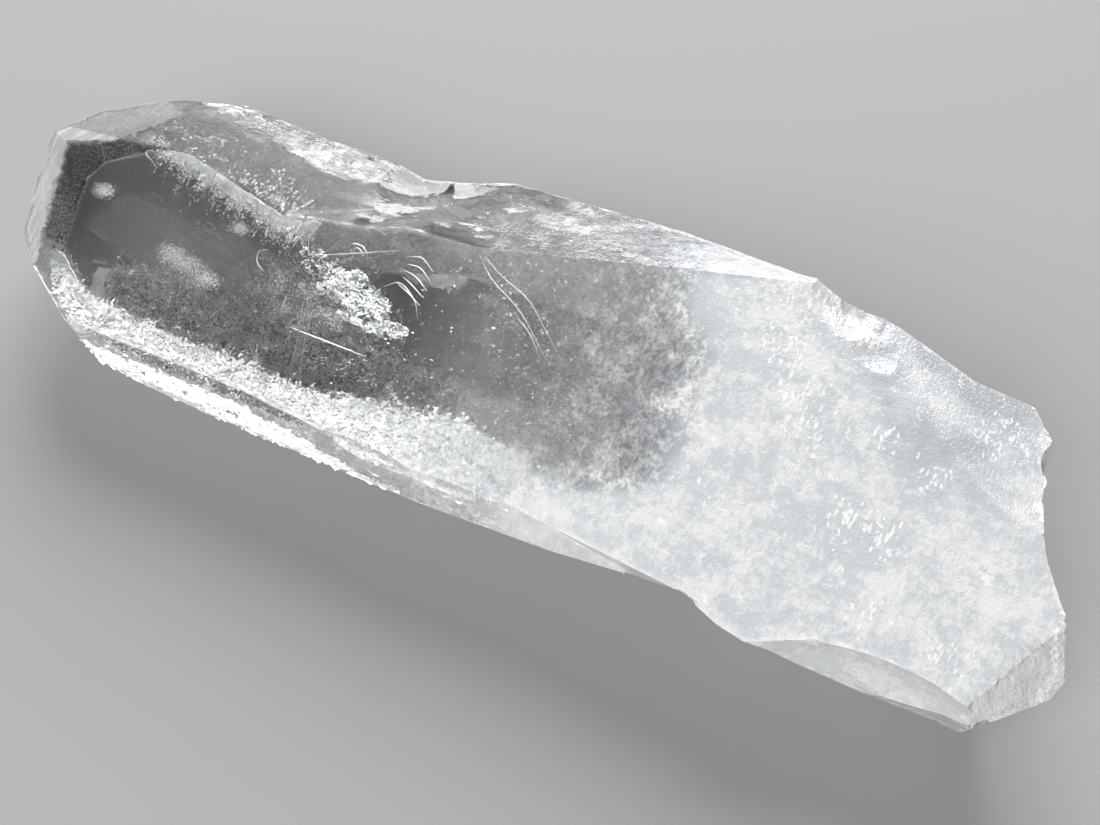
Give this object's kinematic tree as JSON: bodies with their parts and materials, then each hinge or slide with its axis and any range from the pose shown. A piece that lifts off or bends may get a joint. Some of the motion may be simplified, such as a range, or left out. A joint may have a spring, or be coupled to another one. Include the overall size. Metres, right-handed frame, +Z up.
{
  "type": "quartz crystal point",
  "caption": "Natural quartz point lying on its side: a flattened six-sided prism, clear at its blunt facetted tip, with a chipped front edge, clouding to milky white at the rough broken base.",
  "frame": {"origin": "middle of the bounding box, at the height of the surface the crystal rests on", "axes": "+X along the crystal from its tip to its broken base, +Y towards the back long side, where the broad top face is highest, +Z up from the resting face"},
  "size_m": [0.0628, 0.023, 0.0106],
  "materials": {
    "quartz": "clear at the tip with healed cracks inside, clouding to milky white at the base; glossy growth faces, rough broken end"
  },
  "bodies": {
    "root": {"crystal": "quartz"}
  },
  "joints": []
}
